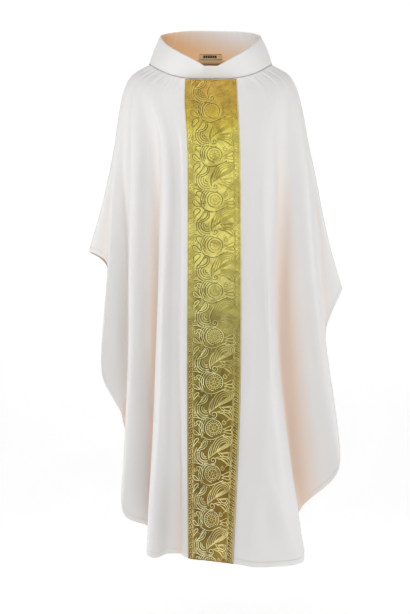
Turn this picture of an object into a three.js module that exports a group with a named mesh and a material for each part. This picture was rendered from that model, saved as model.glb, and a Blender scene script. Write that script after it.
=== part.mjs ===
// A roll-collar chasuble: a wide, sleeveless vestment that falls from the neck over both
// shoulders in deep folds, with a brocade band (the orphrey) down the front and the back.
// Millimetres, +Z up, the front faces -Y. The origin is the middle of the neck opening at
// shoulder height, where a wearer or a hanger holds the garment up.
// The cloth is one surface, place(along, fall): along counts the fold lines round the garment
// from the middle of the front over the -X side, and fall runs from the neck seam, 0, to the
// hem, 1. Every layer is a slab at its own distance from that surface.
import * as THREE from "three";

// Garment sizes
const frontLength = 1190; // origin down to the front hem
const backLength = 1215; // origin down to the back hem
const hemHalfWidth = 320;
const hemHalfDepth = 200;
const chestHalfWidth = 250;
const chestHalfDepth = 145;
const chestDrop = 205; // origin down to where the folds hang free
const shoulderHalfWidth = 204;
const shoulderDrop = 20;
const shoulderFront = { out: 130, drop: 95 };
const shoulderBack = { out: 118, drop: 55 };

// Neck seam and rolled collar
const neckShift = -6; // the neck sits a little to one side of the band
const neckHalfWidth = 153;
const neckSideRise = 17;
const neckFront = { out: 112, rise: -35 };
const neckBack = { out: 95, rise: 35 };
const rimHalfWidth = 125;
const rimMiddle = 15; // the rim's widest place, behind the origin
const rimSideRise = 94;
const rimFront = { out: 153, rise: -10 };
const rimBack = { out: 67, rise: 119 };
const rimDipHalfAngle = 8; // degrees of the level stretch at the bottom of the front dip
const rimDipPower = 0.92;
const collarLayer = 1.6;
const collarLift = 1.2; // seam gap under the collar

// Cloth and trimmings
const clothThickness = 1.5;
const orphreyWidth = 130;
const orphreyThickness = 1.5;
const orphreyDrop = 3.6; // bare cloth between the collar and the top of a band
const frontBandTurn = 35; // degrees that the front band turns aside at its hem
const backingThickness = 1;
const interliningThickness = 1.4;
const bindingWidth = 12;
const bindingThickness = 1.2;
const labelWidth = 64;
const labelHeight = 16;
const labelThickness = 0.9;
const tapeWidth = 14;
const tapeThickness = 1;
const tapeEnd = 0.42; // share of the shoulder line that the stay tape follows
const layerGap = 0.4;
const facetGap = 1.8; // wider, for pieces that cross their neighbour's facets
const seamGap = 0.5;

// Each fold line, from the middle of a panel to its shoulder line. neck is its angle on the
// neck seam from the middle, in degrees. chest is [across, out], and mid and hem are
// [across, out, drop], as shares of the half width, the half depth and the length.
const frontLeftFolds = [
  { neck: 31, chest: [0.348, 0.94], mid: [0.278, 0.775, 0.645], hem: [0.281, 0.575, 0.986] },
  { neck: 39, chest: [0.472, 0.91], mid: [0.422, 0.85, 0.63], hem: [0.488, 0.85, 0.988] },
  { neck: 49, chest: [0.56, 0.71], mid: [0.438, 0.36, 0.6], hem: [0.453, 0.25, 0.95] },
  { neck: 59, chest: [0.77, 0.676], mid: [0.612, 0.58, 0.58], hem: [0.69, 0.6, 0.903] },
  { neck: 67, chest: [0.848, 0.38], mid: [0.653, 0.06, 0.47], hem: [0.666, -0.03, 0.74] },
  { neck: 75, chest: [0.96, 0.31], mid: [0.797, 0.25, 0.4], hem: [0.856, 0.25, 0.624] },
  { neck: 83, chest: [0.976, 0.1], mid: [0.79, -0.03, 0.3], hem: [0.81, -0.06, 0.4] },
];
const leftTip = { neck: 90, chest: [1, -0.07], mid: [0.872, -0.125, 0.27], hem: [1, -0.25, 0.367] };
const frontRightFolds = [
  { neck: 36, chest: [0.408, 0.98], mid: [0.36, 0.875, 0.64], hem: [0.36, 0.99, 1.003] },
  { neck: 47, chest: [0.524, 0.883], mid: [0.462, 0.825, 0.64], hem: [0.663, 0.75, 0.997] },
  { neck: 56, chest: [0.66, 0.62], mid: [0.54, 0.2, 0.56], hem: [0.656, 0.075, 0.916] },
  { neck: 67, chest: [0.88, 0.54], mid: [0.78, 0.36, 0.504], hem: [0.965, 0.275, 0.825] },
  { neck: 79, chest: [0.916, 0.124], mid: [0.81, -0.02, 0.353], hem: [0.88, -0.05, 0.538] },
];
const rightTip = { neck: 90, chest: [0.984, -0.07], mid: [0.894, -0.12, 0.324], hem: [1.022, -0.18, 0.441] };
const backLeftFolds = [
  { neck: 28, chest: [0.36, 0.9], hem: [0.281, 0.8, 0.994] },
  { neck: 34, chest: [0.48, 0.9], hem: [0.42, 0.95, 0.99] },
  { neck: 44, chest: [0.592, 0.745], hem: [0.4, 0.4, 0.963] },
  { neck: 55, chest: [0.752, 0.79], hem: [0.64, 0.775, 0.9] },
  { neck: 64, chest: [0.82, 0.566], hem: [0.672, 0.3, 0.757] },
  { neck: 73, chest: [0.94, 0.55], hem: [0.797, 0.65, 0.626] },
  { neck: 82, chest: [0.968, 0.31], hem: [0.83, 0.36, 0.395] },
];
const backRightFolds = [
  { neck: 29, chest: [0.37, 0.91], hem: [0.3, 0.86, 0.995] },
  { neck: 36, chest: [0.53, 0.89], hem: [0.5, 0.93, 0.985] },
  { neck: 47, chest: [0.64, 0.72], hem: [0.45, 0.36, 0.955] },
  { neck: 57, chest: [0.78, 0.76], hem: [0.7, 0.74, 0.885] },
  { neck: 66, chest: [0.84, 0.53], hem: [0.69, 0.26, 0.74] },
  { neck: 75, chest: [0.94, 0.5], hem: [0.82, 0.58, 0.63] },
  { neck: 83, chest: [0.97, 0.28], hem: [0.86, 0.33, 0.5] },
];
const frontMiddle = { neck: 0, chest: [0, 1.007], mid: [0, 0.86, 0.645], hem: [0.025, 0.84, 0.994] };
const backMiddle = { neck: 0, chest: [0, 0.91], mid: [0, 0.8, 0.6], hem: [0, 0.91, 1] };

// Roundness of the folds
const foldRadius = 24;
const foldCut = 0.3; // largest share of the way to the next fold line that a fold rounds off
const foldFullness = 0.2;

// Facets
const facetRows = 14;
const rowCrowding = 1.5; // above 1, the rows crowd towards the neck
const wideFacets = 70; // a stretch wider than this gets four columns, not two
const collarSteps = 48;
const labelSteps = 6;

const radians = THREE.MathUtils.degToRad;
const point = (x, y, z) => new THREE.Vector3(x, y, z);

// A point of the neck seam: side is -1 or 1, facing is -1 for the front and 1 for the back.
function neckPoint(side, facing, angle) {
  const end = facing < 0 ? neckFront : neckBack;
  const across = Math.sin(radians(angle));
  const flattening = facing < 0 ? 3 : 2;
  return point(
    neckShift + side * neckHalfWidth * across,
    facing * end.out * Math.cos(radians(angle)),
    THREE.MathUtils.lerp(end.rise, neckSideRise, across ** flattening),
  );
}

// Where the cloth leaves the top of the shoulders.
function shoulderPoint(side, facing, angle) {
  const end = facing < 0 ? shoulderFront : shoulderBack;
  const across = Math.sin(radians(angle));
  return point(
    neckShift + side * shoulderHalfWidth * across,
    facing * end.out * Math.cos(radians(angle)),
    -THREE.MathUtils.lerp(end.drop, shoulderDrop, across ** 2),
  );
}

// The stations of a fold line from the neck seam to the hem.
function foldStations(side, facing, fold) {
  const length = facing < 0 ? frontLength : backLength;
  const at = ([across, out, drop]) =>
    point(side * across * hemHalfWidth, facing * out * hemHalfDepth, -drop * length);
  const [across, out] = fold.chest;
  const chest = point(side * across * chestHalfWidth, facing * out * chestHalfDepth, -chestDrop);
  const hem = at(fold.hem);
  const mid = fold.mid ? at(fold.mid) : chest.clone().lerp(hem, 0.5);
  return [
    neckPoint(side, facing, fold.neck),
    shoulderPoint(side, facing, fold.neck),
    chest,
    mid,
    hem,
  ];
}

// The edge of a band, which keeps its width and may turn aside towards its hem.
function bandEdgeStations(side, facing, middle, hemTurn) {
  const stations = foldStations(-1, facing, middle);
  const half = orphreyWidth / 2;
  const angleAt = (reach) => THREE.MathUtils.radToDeg(Math.asin(half / reach));
  stations[0] = neckPoint(side, facing, angleAt(neckHalfWidth));
  stations[1] = shoulderPoint(side, facing, angleAt(shoulderHalfWidth));
  stations[2].x += side * half;
  stations[3].x += side * half;
  stations[4].x += side * half * Math.cos(radians(hemTurn));
  stations[4].y -= side * half * Math.sin(radians(hemTurn));
  return stations;
}

const curveThrough = (stations) => new THREE.CatmullRomCurve3(stations, false, "centripetal");

// All fold lines in order round the garment, and the numbers of those where panels meet.
function gatherFoldLines() {
  const lines = [];
  const seams = {};
  const add = (...stations) => lines.push(...stations.map(curveThrough));
  const folds = (side, facing, list) => list.map((fold) => foldStations(side, facing, fold));
  add(foldStations(-1, -1, frontMiddle), bandEdgeStations(-1, -1, frontMiddle, frontBandTurn));
  add(...folds(-1, -1, frontLeftFolds));
  seams.left = lines.length;
  add(foldStations(-1, -1, leftTip));
  add(...folds(-1, 1, backLeftFolds).reverse());
  add(bandEdgeStations(-1, 1, backMiddle, 0));
  seams.back = lines.length;
  add(foldStations(-1, 1, backMiddle), bandEdgeStations(1, 1, backMiddle, 0));
  add(...folds(1, 1, backRightFolds));
  seams.right = lines.length;
  add(foldStations(1, -1, rightTip));
  add(...folds(1, -1, frontRightFolds).reverse());
  add(bandEdgeStations(1, -1, frontMiddle, frontBandTurn));
  seams.front = lines.length;
  return { lines, seams };
}

const { lines: foldLines, seams } = gatherFoldLines();
const rings = new Map();

// A fold is round: the curve round the garment passes a fold line by two points, one on each
// side of it, which lie a little outside the straight lines to its neighbours.
function roundedFold(before, at, after) {
  const towards = (end) => {
    const way = end.clone().sub(at);
    const cut = Math.min(foldCut * way.length(), foldRadius);
    return way.setLength(cut);
  };
  const back = towards(before);
  const on = towards(after);
  const crest = back.clone().add(on).multiplyScalar(-foldFullness);
  return [at.clone().add(back).add(crest), at.clone().add(on).add(crest)];
}

// The closed curve round the garment at one fall.
function ringAt(fall) {
  if (!rings.has(fall)) {
    const points = foldLines.map((line) => line.getPointAt(fall));
    const count = points.length;
    const rounded = points.flatMap((at, line) =>
      roundedFold(points[(line + count - 1) % count], at, points[(line + 1) % count]),
    );
    rings.set(fall, new THREE.CatmullRomCurve3(rounded, true, "centripetal"));
  }
  return rings.get(fall);
}

// The point at a number of fold lines along the ring, whole on a fold line itself.
function place(along, fall) {
  const count = foldLines.length;
  return ringAt(fall).getPoint((((along + 0.25) / count) + 1) % 1);
}

// The surface's outward normal and its stretch per unit of along.
function surfaceFrame(along, fall) {
  const alongStep = 0.02;
  const fallStep = 0.004;
  const before = Math.max(fall - fallStep, 0);
  const after = Math.min(fall + fallStep, 1);
  const across = place(along + alongStep, fall).sub(place(along - alongStep, fall));
  const down = place(along, after).sub(place(along, before));
  return {
    normal: new THREE.Vector3().crossVectors(across, down).normalize(),
    stretch: across.length() / (2 * alongStep),
  };
}

// The row fractions from the neck seam to the hem; the bands start at the second row.
const orphreyTop = orphreyDrop / frontLength;
function makeFallRows() {
  const rows = [0, orphreyTop];
  for (let row = 1; row <= facetRows; row++) rows.push((row / facetRows) ** rowCrowding);
  return rows;
}
const fallRows = makeFallRows();
const bandRows = fallRows.slice(1);

// Columns between two fold lines of the ring.
function columnsBetween(start, end) {
  const columns = [];
  for (let line = start; line < end; line++) {
    const width = place(line, 1).distanceTo(place(line + 1, 1));
    const parts = width > wideFacets ? 4 : 2;
    for (let part = 0; part < parts; part++) columns.push(line + part / parts);
  }
  columns.push(end);
  return columns;
}

// A closed slab between two grids of points, outer and inner, each a list of rows.
function slab(outer, inner) {
  const rowCount = outer.length;
  const columnCount = outer[0].length;
  const vertices = [...outer.flat(), ...inner.flat()];
  const innerStart = rowCount * columnCount;
  const index = [];
  const quad = (a, b, c, d) => index.push(a, b, c, a, c, d);
  const at = (row, column) => row * columnCount + column;
  for (let row = 0; row + 1 < rowCount; row++) {
    for (let column = 0; column + 1 < columnCount; column++) {
      const a = at(row, column);
      const b = at(row, column + 1);
      const c = at(row + 1, column + 1);
      const d = at(row + 1, column);
      quad(a, b, c, d);
      quad(a + innerStart, d + innerStart, c + innerStart, b + innerStart);
    }
  }
  const wall = (a, b) => quad(b, a, a + innerStart, b + innerStart);
  for (let column = 0; column + 1 < columnCount; column++) {
    wall(at(0, column), at(0, column + 1));
    wall(at(rowCount - 1, column + 1), at(rowCount - 1, column));
  }
  for (let row = 0; row + 1 < rowCount; row++) {
    wall(at(row + 1, 0), at(row, 0));
    wall(at(row, columnCount - 1), at(row + 1, columnCount - 1));
  }
  return new THREE.BufferGeometry().setFromPoints(vertices).setIndex(index);
}

// A layer of cloth: columnsAt gives the columns of one row, and low and high are the distances
// of its faces outside the garment's surface.
function layer(columnsAt, rows, low, high) {
  const face = (distance) =>
    rows.map((fall) =>
      columnsAt(fall).map((along) =>
        place(along, fall).addScaledVector(surfaceFrame(along, fall).normal, distance),
      ),
    );
  return slab(face(high), face(low));
}

// A panel between two seams, held half the seam gap short of each.
function panel(start, end) {
  const inside = columnsBetween(start, end).slice(1, -1);
  const inset = (seam, fall) => seamGap / 2 / surfaceFrame(seam, fall).stretch;
  const columnsAt = (fall) => [start + inset(start, fall), ...inside, end - inset(end, fall)];
  return layer(columnsAt, fallRows, -clothThickness, 0);
}

// A band over the fold lines on both sides of a middle seam.
function band(middle, low, high) {
  const columns = columnsBetween(middle - 1, middle + 1);
  return layer(() => columns, bandRows, low, high);
}

// The stay tape under a shoulder line, from the neck to where the shoulder turns down.
function stayTape(seam) {
  const rows = fallRows.filter((fall) => fall > orphreyTop && fall < tapeEnd);
  const columnsAt = (fall) => {
    const half = tapeWidth / 2 / surfaceFrame(seam, fall).stretch;
    return [seam - half, seam, seam + half];
  };
  const high = -clothThickness - facetGap;
  return layer(columnsAt, rows, high - tapeThickness, high);
}

// A point of the collar's rim, by the angle from the front middle over the -X side.
function rimPoint(turn) {
  const across = Math.sin(radians(turn));
  const forward = Math.cos(radians(turn));
  const fromFront = turn <= 180 ? turn : 360 - turn;
  const x = neckShift - rimHalfWidth * across;
  if (fromFront > 90) {
    const rise = THREE.MathUtils.lerp(rimSideRise, rimBack.rise, -forward);
    return point(x, rimMiddle - rimBack.out * forward, rise);
  }
  const climb = Math.max(0, fromFront - rimDipHalfAngle) / (90 - rimDipHalfAngle);
  const rise = THREE.MathUtils.lerp(rimFront.rise, rimSideRise, climb ** rimDipPower);
  return point(x, rimMiddle - rimFront.out * forward, rise);
}

// The foot of the collar, just above the neck seam.
function footPoint(turn) {
  const fromFront = turn <= 180 ? turn : 360 - turn;
  const side = turn <= 180 ? -1 : 1;
  const facing = fromFront <= 90 ? -1 : 1;
  const foot = neckPoint(side, facing, facing < 0 ? fromFront : 180 - fromFront);
  foot.z += collarLift;
  return foot;
}

// A point of the collar: rise in millimetres above its foot, or below its rim when fromRim is
// true, and depth in millimetres inwards from its outer face.
function collarPoint(turn, rise, depth, fromRim) {
  const step = 0.5;
  const wrap = (angle) => (angle + 360) % 360;
  const share = (angle, height) => {
    const foot = footPoint(wrap(angle));
    return foot.lerp(rimPoint(wrap(angle)), height);
  };
  const wall = rimPoint(wrap(turn)).distanceTo(footPoint(wrap(turn)));
  const height = (fromRim ? wall - rise : rise) / wall;
  const around = share(turn + step, height).sub(share(turn - step, height));
  const upward = share(turn, 1).sub(share(turn, 0));
  const inward = new THREE.Vector3().crossVectors(around, upward).normalize();
  return share(turn, height).addScaledVector(inward, depth);
}

// A closed ring round the neck from a profile of [rise, depth, fromRim] corners.
function collarRing(profile) {
  const vertices = [];
  const index = [];
  const corners = profile.length;
  for (let step = 0; step < collarSteps; step++) {
    const turn = (360 * step) / collarSteps;
    for (const corner of profile) vertices.push(collarPoint(turn, ...corner));
    const next = (step + 1) % collarSteps;
    for (let corner = 0; corner < corners; corner++) {
      const beside = (corner + 1) % corners;
      const a = step * corners + corner;
      const b = step * corners + beside;
      const c = next * corners + beside;
      const d = next * corners + corner;
      // Each face is split from its lower corner here to its upper corner at the next step, so
      // that the faces of neighbouring layers stay parallel.
      if (vertices[a].z < vertices[b].z) index.push(a, b, c, a, c, d);
      else index.push(a, b, d, b, c, d);
    }
  }
  return new THREE.BufferGeometry().setFromPoints(vertices).setIndex(index);
}

const interliningDepth = collarLayer + layerGap;
const liningDepth = interliningDepth + interliningThickness + layerGap;
const collarDepth = liningDepth + collarLayer;

// The collar's cloth, folded over at the rim, with room inside for its interlining.
function collar() {
  const bevel = collarLayer / 2;
  return collarRing([
    [0, 0, false],
    [bevel, 0, true],
    [0, bevel, true],
    [0, collarDepth - bevel, true],
    [bevel, collarDepth, true],
    [0, collarDepth, false],
    [0, liningDepth, false],
    [collarLayer, liningDepth, true],
    [collarLayer, collarLayer, true],
    [0, collarLayer, false],
  ]);
}

function collarInterlining() {
  const top = collarLayer + layerGap;
  const inner = interliningDepth + interliningThickness;
  return collarRing([
    [layerGap, interliningDepth, false],
    [top, interliningDepth, true],
    [top, inner, true],
    [layerGap, inner, false],
  ]);
}

// The tape that covers the neck seam inside.
function neckBinding() {
  const near = collarDepth + facetGap;
  const far = near + bindingThickness;
  const low = -bindingWidth / 4;
  const high = low + bindingWidth;
  return collarRing([
    [low, near, false],
    [high, near, false],
    [high, far, false],
    [low, far, false],
  ]);
}

// The blank woven label inside the back of the collar, just above the binding.
function neckLabel() {
  const low = bindingWidth * 0.75 + layerGap * 2;
  const near = collarDepth + facetGap;
  const halfTurn = THREE.MathUtils.radToDeg(labelWidth / 2 / neckHalfWidth);
  const face = (depth) =>
    [low, low + labelHeight].map((rise) =>
      Array.from({ length: labelSteps + 1 }, (_, step) =>
        collarPoint(180 + halfTurn * (1 - (2 * step) / labelSteps), rise, depth, false),
      ),
    );
  return slab(face(near), face(near + labelThickness));
}

// Finishes
const cloth = { color: 0xe9e6e1, roughness: 0.62, metalness: 0 };
const brocade = { color: 0xc2a24a, roughness: 0.45, metalness: 0.25 };
const canvas = { color: 0xd9d2c2, roughness: 0.9, metalness: 0 };
const satinTape = { color: 0xf0e3cc, roughness: 0.5, metalness: 0 };
const wovenLabel = { color: 0xd8c39a, roughness: 0.7, metalness: 0 };

const chasuble = new THREE.Group();

function addPiece(name, geometry, finish) {
  geometry.computeVertexNormals();
  const mesh = new THREE.Mesh(geometry, new THREE.MeshStandardMaterial(finish));
  mesh.name = name;
  chasuble.add(mesh);
}

const backingLow = layerGap;
const backingHigh = backingLow + backingThickness;
const orphreyLow = backingHigh + layerGap;
const orphreyHigh = orphreyLow + orphreyThickness;

addPiece("front_panel_left", panel(0, seams.left), cloth);
addPiece("back_panel_left", panel(seams.left, seams.back), cloth);
addPiece("back_panel_right", panel(seams.back, seams.right), cloth);
addPiece("front_panel_right", panel(seams.right, seams.front), cloth);
addPiece("front_orphrey", band(seams.front, orphreyLow, orphreyHigh), brocade);
addPiece("front_orphrey_backing", band(seams.front, backingLow, backingHigh), canvas);
addPiece("back_orphrey", band(seams.back, orphreyLow, orphreyHigh), brocade);
addPiece("back_orphrey_backing", band(seams.back, backingLow, backingHigh), canvas);
addPiece("collar", collar(), cloth);
addPiece("collar_interlining", collarInterlining(), canvas);
addPiece("neck_binding", neckBinding(), satinTape);
addPiece("neck_label", neckLabel(), wovenLabel);
addPiece("shoulder_tape_left", stayTape(seams.left), satinTape);
addPiece("shoulder_tape_right", stayTape(seams.right), satinTape);

export default chasuble;
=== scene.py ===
"""Roll-collar chasuble: the fine surfaces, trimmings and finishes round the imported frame.

Metres, +Z up, the front faces -Y. The hanging cloth is one surface, cloth(along, fall): along
counts the fold lines round the garment from the middle of the front over the -X side, and fall
runs from the neck seam, 0, to the hem, 1. Every layer keeps its own distance from it.
"""

import math

import bpy
import numpy as np
from bpy.props import FloatProperty, FloatVectorProperty, PointerProperty
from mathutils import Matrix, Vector


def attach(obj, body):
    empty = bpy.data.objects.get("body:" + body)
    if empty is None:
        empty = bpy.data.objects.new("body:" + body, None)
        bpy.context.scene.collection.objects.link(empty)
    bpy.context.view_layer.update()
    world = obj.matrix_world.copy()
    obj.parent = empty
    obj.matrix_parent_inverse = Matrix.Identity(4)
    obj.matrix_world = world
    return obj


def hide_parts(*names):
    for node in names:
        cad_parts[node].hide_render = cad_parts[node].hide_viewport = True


bl_info = {
    "name": "Roll-collar chasuble",
    "version": (1, 0, 0),
    "blender": (4, 5, 0),
    "location": "3D View > Sidebar > Chasuble",
    "description": "Builds the cloth, bands, collar and trimmings of a chasuble",
    "category": "Add Mesh",
}

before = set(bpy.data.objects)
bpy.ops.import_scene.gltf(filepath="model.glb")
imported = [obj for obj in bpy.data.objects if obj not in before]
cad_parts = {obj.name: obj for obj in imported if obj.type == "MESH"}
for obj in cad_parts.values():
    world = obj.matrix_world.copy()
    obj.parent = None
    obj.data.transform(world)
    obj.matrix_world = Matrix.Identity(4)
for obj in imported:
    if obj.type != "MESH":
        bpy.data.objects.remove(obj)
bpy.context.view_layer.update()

MM = 0.001

# Each fold line, from the middle of a panel to its shoulder line. The first number is its
# angle on the neck seam in degrees, then come (across, out) at the chest and
# (across, out, drop) half way and at the hem, as shares of half width, half depth and length.
FRONT_MIDDLE = (0, (0, 1.007), (0, 0.86, 0.645), (0.025, 0.84, 0.994))
FRONT_LEFT = (
    (31, (0.348, 0.94), (0.278, 0.775, 0.645), (0.281, 0.575, 0.986)),
    (39, (0.472, 0.91), (0.422, 0.85, 0.63), (0.488, 0.85, 0.988)),
    (49, (0.56, 0.71), (0.438, 0.36, 0.6), (0.453, 0.25, 0.95)),
    (59, (0.77, 0.676), (0.612, 0.58, 0.58), (0.69, 0.6, 0.903)),
    (67, (0.848, 0.38), (0.653, 0.06, 0.47), (0.666, -0.03, 0.74)),
    (75, (0.96, 0.31), (0.797, 0.25, 0.4), (0.856, 0.25, 0.624)),
    (83, (0.976, 0.1), (0.79, -0.03, 0.3), (0.81, -0.06, 0.4)),
)
LEFT_TIP = (90, (1, -0.07), (0.872, -0.125, 0.27), (1, -0.25, 0.367))
FRONT_RIGHT = (
    (36, (0.408, 0.98), (0.36, 0.875, 0.64), (0.36, 0.99, 1.003)),
    (47, (0.524, 0.883), (0.462, 0.825, 0.64), (0.663, 0.75, 0.997)),
    (56, (0.66, 0.62), (0.54, 0.2, 0.56), (0.656, 0.075, 0.916)),
    (67, (0.88, 0.54), (0.78, 0.36, 0.504), (0.965, 0.275, 0.825)),
    (79, (0.916, 0.124), (0.81, -0.02, 0.353), (0.88, -0.05, 0.538)),
)
RIGHT_TIP = (90, (0.984, -0.07), (0.894, -0.12, 0.324), (1.022, -0.18, 0.441))
BACK_MIDDLE = (0, (0, 0.91), (0, 0.8, 0.6), (0, 0.91, 1))
BACK_LEFT = (
    (28, (0.36, 0.9), None, (0.281, 0.8, 0.994)),
    (34, (0.48, 0.9), None, (0.42, 0.95, 0.99)),
    (44, (0.592, 0.745), None, (0.4, 0.4, 0.963)),
    (55, (0.752, 0.79), None, (0.64, 0.775, 0.9)),
    (64, (0.82, 0.566), None, (0.672, 0.3, 0.757)),
    (73, (0.94, 0.55), None, (0.797, 0.65, 0.626)),
    (82, (0.968, 0.31), None, (0.83, 0.36, 0.395)),
)
BACK_RIGHT = (
    (29, (0.37, 0.91), None, (0.3, 0.86, 0.995)),
    (36, (0.53, 0.89), None, (0.5, 0.93, 0.985)),
    (47, (0.64, 0.72), None, (0.45, 0.36, 0.955)),
    (57, (0.78, 0.76), None, (0.7, 0.74, 0.885)),
    (66, (0.84, 0.53), None, (0.69, 0.26, 0.74)),
    (75, (0.94, 0.5), None, (0.82, 0.58, 0.63)),
    (83, (0.97, 0.28), None, (0.86, 0.33, 0.5)),
)
SEAM_LEFT, SEAM_BACK, SEAM_RIGHT, SEAM_FRONT = 9, 18, 27, 34
LINE_COUNT = 34

NECK_SHIFT = -0.006
NECK_FRONT, NECK_BACK, NECK_SIDE_RISE = (0.112, -0.035), (0.095, 0.035), 0.017
SHOULDER_FRONT, SHOULDER_BACK, SHOULDER_DROP = (0.130, 0.095), (0.118, 0.055), 0.020
RIM_MIDDLE, RIM_SIDE_RISE = 0.015, 0.094
RIM_FRONT, RIM_BACK = (0.153, -0.010), (0.067, 0.119)
RIM_DIP_HALF_ANGLE, RIM_DIP_POWER = 8, 0.92
FRONT_BAND_TURN = 35
FOLD_RADIUS, FOLD_CUT, FOLD_FULLNESS = 0.024, 0.3, 0.2
SEAM_GAP = 0.0005

TABLE_ROWS = 801  # rows of the table of rings that the surface is read from
LINE_STEPS = 201  # points along each fold line when its length is measured
COLUMNS_PER_FOLD = 12
PANEL_ROWS, BAND_ROWS = 230, 300
BAND_DROP = 0.0036

# Distances of the faces of each layer outside the surface of the garment
CLOTH_BACK = -0.0009
CANVAS_LOW, CANVAS_HIGH = 0.0002, 0.0007
BAND_LOW, BAND_HIGH = 0.0009, 0.0017
STAY_HIGH, STAY_LOW = -0.0027, -0.0034

# Heights of the small waves in the cloth
SWELL_HEIGHT, GATHER_HEIGHT = 1.25 * MM, 1.2 * MM
CREASE_HEIGHT, CREASE_START, CREASE_WIDTH = 8.0 * MM, 0.90, 0.24
BAND_PUCKER, BAND_PUCKER_AT, BAND_PUCKER_WIDTH = 0.5 * MM, 1.12, 0.14
HEM_PUCKER = 0.55 * MM
HEM_STITCH_LINE = 0.012  # from the hem up to its stitches
HEM_ZONE = 0.032  # height of the rows that keep their distance from the hem

# A fold gets no painted shade up to the first depth and its full painted shade the second depth further in
HOLLOW_FROM, HOLLOW_DEPTH = 0.005, 0.034

# Rows of the collar's folded cloth: up each ply, and over the rim
COLLAR_PLY_ROWS, COLLAR_RIM_ROWS = 14, 9
COLLAR_PLY = 0.0009
# Strength of the painted glow that the cloth inside the collar gives off
COLLAR_GLOW = 0.18


# ---------------------------------------------------------------- settings


def length(name, default, description):
    return FloatProperty(
        name=name, description=description, default=default, min=0, subtype="DISTANCE", unit="LENGTH"
    )


def colour(name, code, description):
    parts = [int(code[i : i + 2], 16) / 255 for i in (1, 3, 5)]
    return FloatVectorProperty(
        name=name, description=description, default=parts, min=0, max=1, size=3, subtype="COLOR_GAMMA"
    )


class ChasubleSizes(bpy.types.PropertyGroup):
    """Sizes of the garment, the same as the frame's."""

    front_length: length("Front length", 1.190, "Origin down to the front hem")
    back_length: length("Back length", 1.215, "Origin down to the back hem")
    hem_half_width: length("Hem half width", 0.320, "Middle to the tip of a side drape")
    hem_half_depth: length("Hem half depth", 0.200, "Middle to the front of the hem")
    chest_half_width: length("Chest half width", 0.250, "Half width where the folds hang free")
    chest_half_depth: length("Chest half depth", 0.145, "Half depth where the folds hang free")
    chest_drop: length("Chest drop", 0.205, "Origin down to where the folds hang free")
    shoulder_half_width: length("Shoulder half width", 0.204, "Half width over the shoulders")
    neck_half_width: length("Neck half width", 0.153, "Half width of the neck seam")
    rim_half_width: length("Rim half width", 0.125, "Half width of the collar's rim")
    band_width: length("Band width", 0.130, "Width of the brocade band")
    band_repeat: length("Band repeat", 0.108, "Length of one repeat of the woven figure")
    collar_thickness: length("Collar thickness", 0.0054, "Both plies and what is between")
    hem_turn: length("Hem turn", 0.020, "Cloth turned up inside at the hem")
    stitch_length: length("Stitch length", 0.0032, "Length of one stitch")


class ChasubleColours(bpy.types.PropertyGroup):
    """Colours of the finishes, as sRGB."""

    cloth: colour("Cloth", "#EBEAE9", "Right side of the vestment cloth")
    # Painted shade: the warm colour the cloth is given deep in a fold
    cloth_shade: colour("Cloth in the folds", "#E9D3C2", "Cloth deep in a fold")
    # Painted shade: the inside of the cloth is given the warm colour of cloth in shade
    cloth_wrong_side_shade: colour("Wrong side", "#EAD6C4", "Inside of the vestment cloth")
    # Painted shade: the warm colour given to the cloth low inside the collar
    collar_shade: colour("Cloth in the collar", "#EBC192", "Cloth low inside the collar")
    canvas: colour("Canvas", "#D9D2C2", "Backing canvas")
    # Painted shade: the cream tape is darkened to tan for the shadow low inside the neck
    tape: colour("Tape", "#CDAE80", "Satin tape")
    label: colour("Label", "#F0D0A2", "Blank woven label")
    label_mark: colour("Label dashes", "#1E140A", "Dashes woven into the label")
    thread: colour("Thread", "#E4E1DC", "Sewing thread")
    edging: colour("Edging", "#E6DFB8", "Selvedge cord of the band")


# ---------------------------------------------------------------- the hanging surface


def curve_at(points, t):
    """Points of centripetal Catmull-Rom curves: points is (a, n, 3) and t is (a, m)."""
    count = points.shape[1]
    place = t * (count - 1)
    first = np.clip(np.floor(place).astype(int), 0, count - 2)
    before = 2 * points[:, :1] - points[:, 1:2]
    after = 2 * points[:, -1:] - points[:, -2:-1]
    points = np.concatenate([before, points, after], axis=1)
    rows = np.arange(len(points))[:, None]
    return hermite([points[rows, first + k] for k in range(4)], (place - first)[..., None])


def hermite(x, w):
    """The curve between x[1] and x[2] at the share w, with its neighbours x[0] and x[3]."""
    gaps = [np.sqrt(np.linalg.norm(x[k + 1] - x[k], axis=-1, keepdims=True)) + 1e-9 for k in range(3)]
    wide_in, wide_out = gaps[0] + gaps[1], gaps[1] + gaps[2]
    t1 = ((x[1] - x[0]) / gaps[0] - (x[2] - x[0]) / wide_in + (x[2] - x[1]) / gaps[1]) * gaps[1]
    t2 = ((x[2] - x[1]) / gaps[1] - (x[3] - x[1]) / wide_out + (x[3] - x[2]) / gaps[2]) * gaps[1]
    square = -3 * x[1] + 3 * x[2] - 2 * t1 - t2
    cube = 2 * x[1] - 2 * x[2] + t1 + t2
    return x[1] + t1 * w + square * w**2 + cube * w**3


def mixed(a, b, share):
    return a + (b - a) * share


def neck_point(s, side, facing, angle):
    out, rise = NECK_FRONT if facing < 0 else NECK_BACK
    across = math.sin(math.radians(angle))
    return (
        NECK_SHIFT + side * s.neck_half_width * across,
        facing * out * math.cos(math.radians(angle)),
        mixed(rise, NECK_SIDE_RISE, across ** (3 if facing < 0 else 2)),
    )


def shoulder_point(s, side, facing, angle):
    out, drop = SHOULDER_FRONT if facing < 0 else SHOULDER_BACK
    across = math.sin(math.radians(angle))
    return (
        NECK_SHIFT + side * s.shoulder_half_width * across,
        facing * out * math.cos(math.radians(angle)),
        -mixed(drop, SHOULDER_DROP, across**2),
    )


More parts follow.
